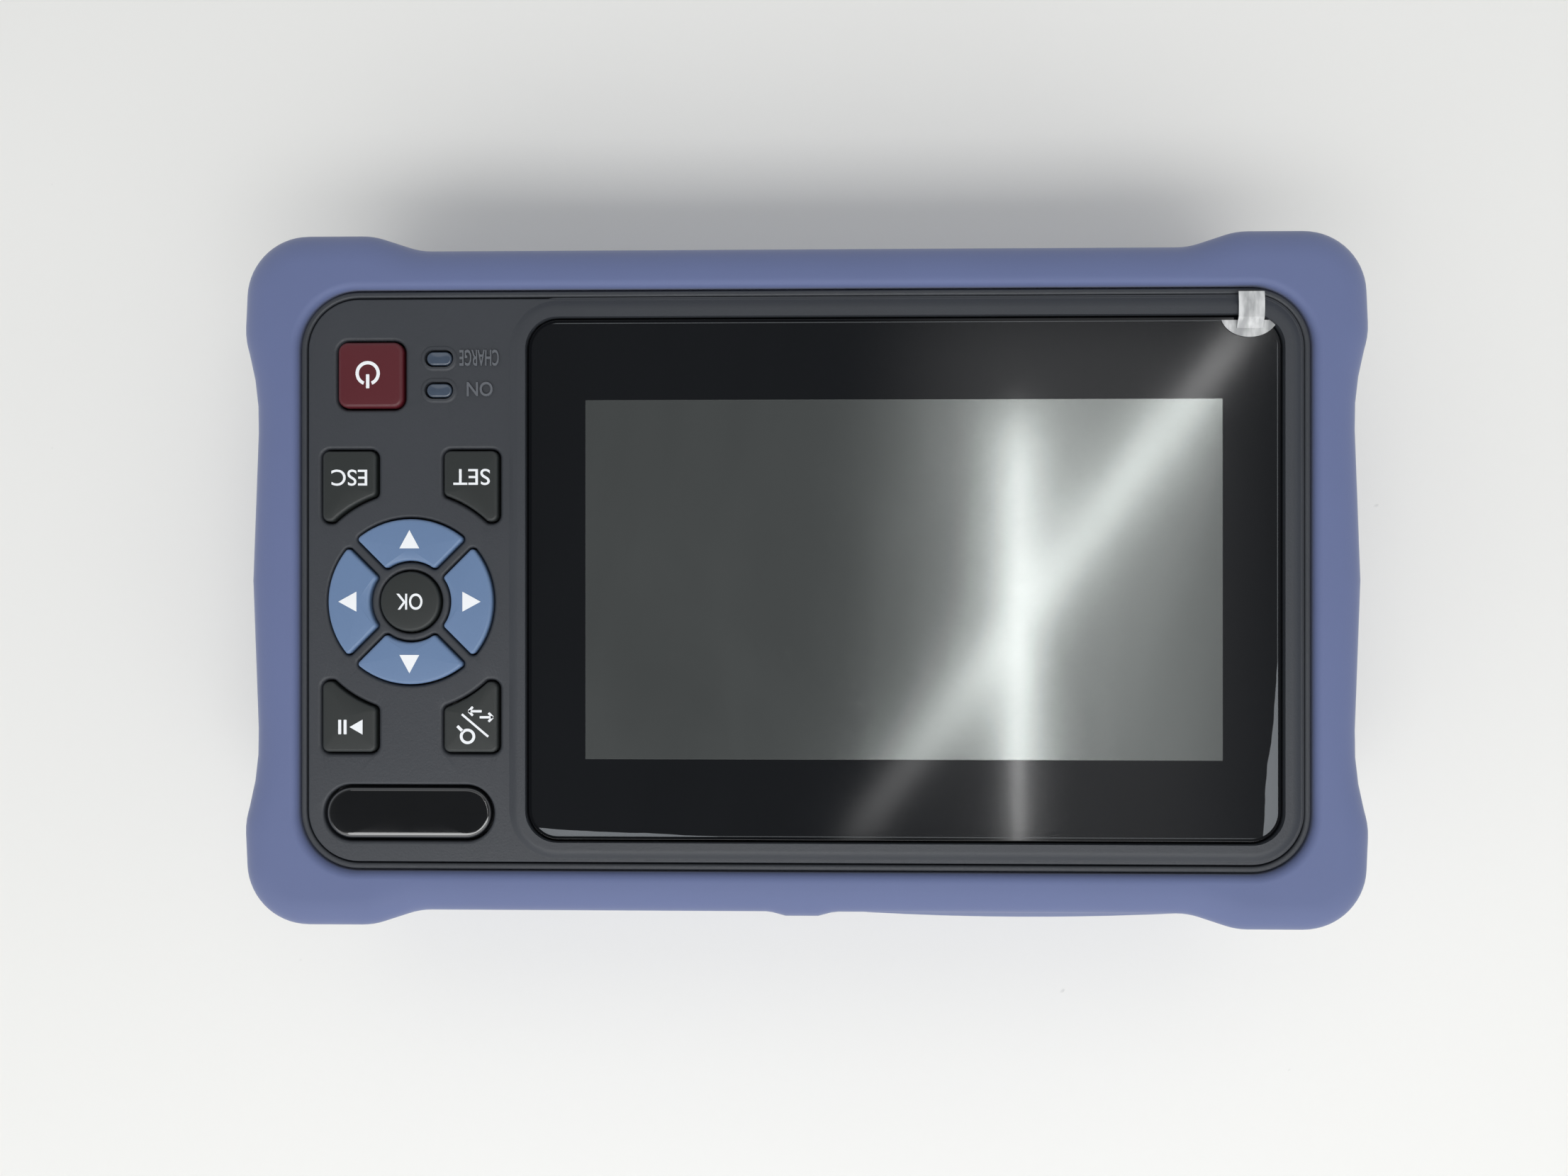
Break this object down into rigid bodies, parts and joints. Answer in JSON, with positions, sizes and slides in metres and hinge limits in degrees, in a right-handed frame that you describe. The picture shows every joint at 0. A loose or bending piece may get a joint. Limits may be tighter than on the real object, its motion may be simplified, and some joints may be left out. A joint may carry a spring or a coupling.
{
  "type": "optical time domain reflectometer",
  "caption": "Handheld optical time domain reflectometer: landscape screen, keypad, hinged port flap and fold-out stand in a silicone boot with bulged corners.",
  "frame": {"origin": "middle of the face that the instrument lies on, on its back", "axes": "+Z out of the screen, +X towards the keypad, +Y towards the edge with the ports"},
  "size_m": [0.1698, 0.105, 0.042],
  "materials": {
    "boot_silicone": "matt silicone",
    "housing_plastic": "fine spark-eroded grain",
    "screen_glass": "polished, dark border",
    "foam_tape": "matt",
    "display": "anti-glare",
    "clear_film": "scratched clear film",
    "black_epoxy": "domed gloss",
    "lamp_window": "translucent",
    "circuit_board": "solder mask",
    "membrane_silicone": "matt",
    "tinned_steel": "bright",
    "black_plastic": "moulded",
    "cast_aluminium": "plain",
    "battery_wrap": "shrink wrap",
    "blue_adapter_plastic": "moulded",
    "nickel_metal": "turned nickel",
    "steel_pin": "bright",
    "red_key_plastic": "moulded",
    "dark_key_plastic": "moulded",
    "blue_key_plastic": "moulded"
  },
  "bodies": {
    "case": {"bumper": "boot_silicone", "front_housing": "housing_plastic", "rear_housing": "housing_plastic", "port_bay": "housing_plastic", "cover_glass": "screen_glass", "glass_gasket": "foam_tape", "lcd_module": "display", "screen_film": "clear_film", "badge_dome": "black_epoxy", "on_light_pipe": "lamp_window", "charge_light_pipe": "lamp_window", "keypad_board": "circuit_board", "keypad_membrane": "membrane_silicone", "main_board": "circuit_board", "board_shield": "tinned_steel", "buzzer": "black_plastic", "optical_module": "cast_aluminium", "battery_pack": "battery_wrap", "otdr_adapter": "blue_adapter_plastic", "power_meter_adapter": "nickel_metal", "fault_locator_adapter": "nickel_metal", "data_socket": "tinned_steel", "charge_socket": "tinned_steel", "flap_pin": "steel_pin", "data_cover_pin": "steel_pin", "stand_pin": "steel_pin", "case_screws": "steel_pin", "board_screws": "steel_pin", "keypad_screws": "steel_pin"},
    "port_flap": {"port_flap": "boot_silicone"},
    "data_port_cover": {"data_port_cover": "boot_silicone"},
    "stand": {"stand": "housing_plastic"},
    "power_key": {"power_key": "red_key_plastic"},
    "ok_key": {"ok_key": "dark_key_plastic"},
    "right_key": {"right_key": "blue_key_plastic"},
    "up_key": {"up_key": "blue_key_plastic"},
    "left_key": {"left_key": "blue_key_plastic"},
    "down_key": {"down_key": "blue_key_plastic"},
    "escape_key": {"escape_key": "dark_key_plastic"},
    "set_key": {"set_key": "dark_key_plastic"},
    "run_key": {"run_key": "dark_key_plastic"},
    "mode_key": {"mode_key": "dark_key_plastic"}
  },
  "joints": [
    {"name": "port_flap_hinge", "type": "hinge", "parent": "case", "child": "port_flap", "pos_m": [-0.03355, 0.04845, 0.00935], "axis": [-1, 0, 0], "range_deg": [0, 90]},
    {"name": "data_cover_hinge", "type": "hinge", "parent": "case", "child": "data_port_cover", "pos_m": [0.031, 0.04845, 0.0151], "axis": [-1, 0, 0], "range_deg": [0, 90]},
    {"name": "stand_hinge", "type": "hinge", "parent": "case", "child": "stand", "pos_m": [0, 0.021, 0.00315], "axis": [1, 0, 0], "range_deg": [0, 60]},
    {"name": "power_press", "type": "slide", "parent": "case", "child": "power_key", "axis": [0, 0, -1], "range_m": [0, 0.0008], "stiffness_N_per_m": 1200, "springref_m": -0.0003},
    {"name": "ok_press", "type": "slide", "parent": "case", "child": "ok_key", "axis": [0, 0, -1], "range_m": [0, 0.0008], "stiffness_N_per_m": 1200, "springref_m": -0.0003},
    {"name": "right_press", "type": "slide", "parent": "case", "child": "right_key", "axis": [0, 0, -1], "range_m": [0, 0.0008], "stiffness_N_per_m": 1200, "springref_m": -0.0003},
    {"name": "up_press", "type": "slide", "parent": "case", "child": "up_key", "axis": [0, 0, -1], "range_m": [0, 0.0008], "stiffness_N_per_m": 1200, "springref_m": -0.0003},
    {"name": "left_press", "type": "slide", "parent": "case", "child": "left_key", "axis": [0, 0, -1], "range_m": [0, 0.0008], "stiffness_N_per_m": 1200, "springref_m": -0.0003},
    {"name": "down_press", "type": "slide", "parent": "case", "child": "down_key", "axis": [0, 0, -1], "range_m": [0, 0.0008], "stiffness_N_per_m": 1200, "springref_m": -0.0003},
    {"name": "escape_press", "type": "slide", "parent": "case", "child": "escape_key", "axis": [0, 0, -1], "range_m": [0, 0.0008], "stiffness_N_per_m": 1200, "springref_m": -0.0003},
    {"name": "set_press", "type": "slide", "parent": "case", "child": "set_key", "axis": [0, 0, -1], "range_m": [0, 0.0008], "stiffness_N_per_m": 1200, "springref_m": -0.0003},
    {"name": "run_press", "type": "slide", "parent": "case", "child": "run_key", "axis": [0, 0, -1], "range_m": [0, 0.0008], "stiffness_N_per_m": 1200, "springref_m": -0.0003},
    {"name": "mode_press", "type": "slide", "parent": "case", "child": "mode_key", "axis": [0, 0, -1], "range_m": [0, 0.0008], "stiffness_N_per_m": 1200, "springref_m": -0.0003}
  ]
}
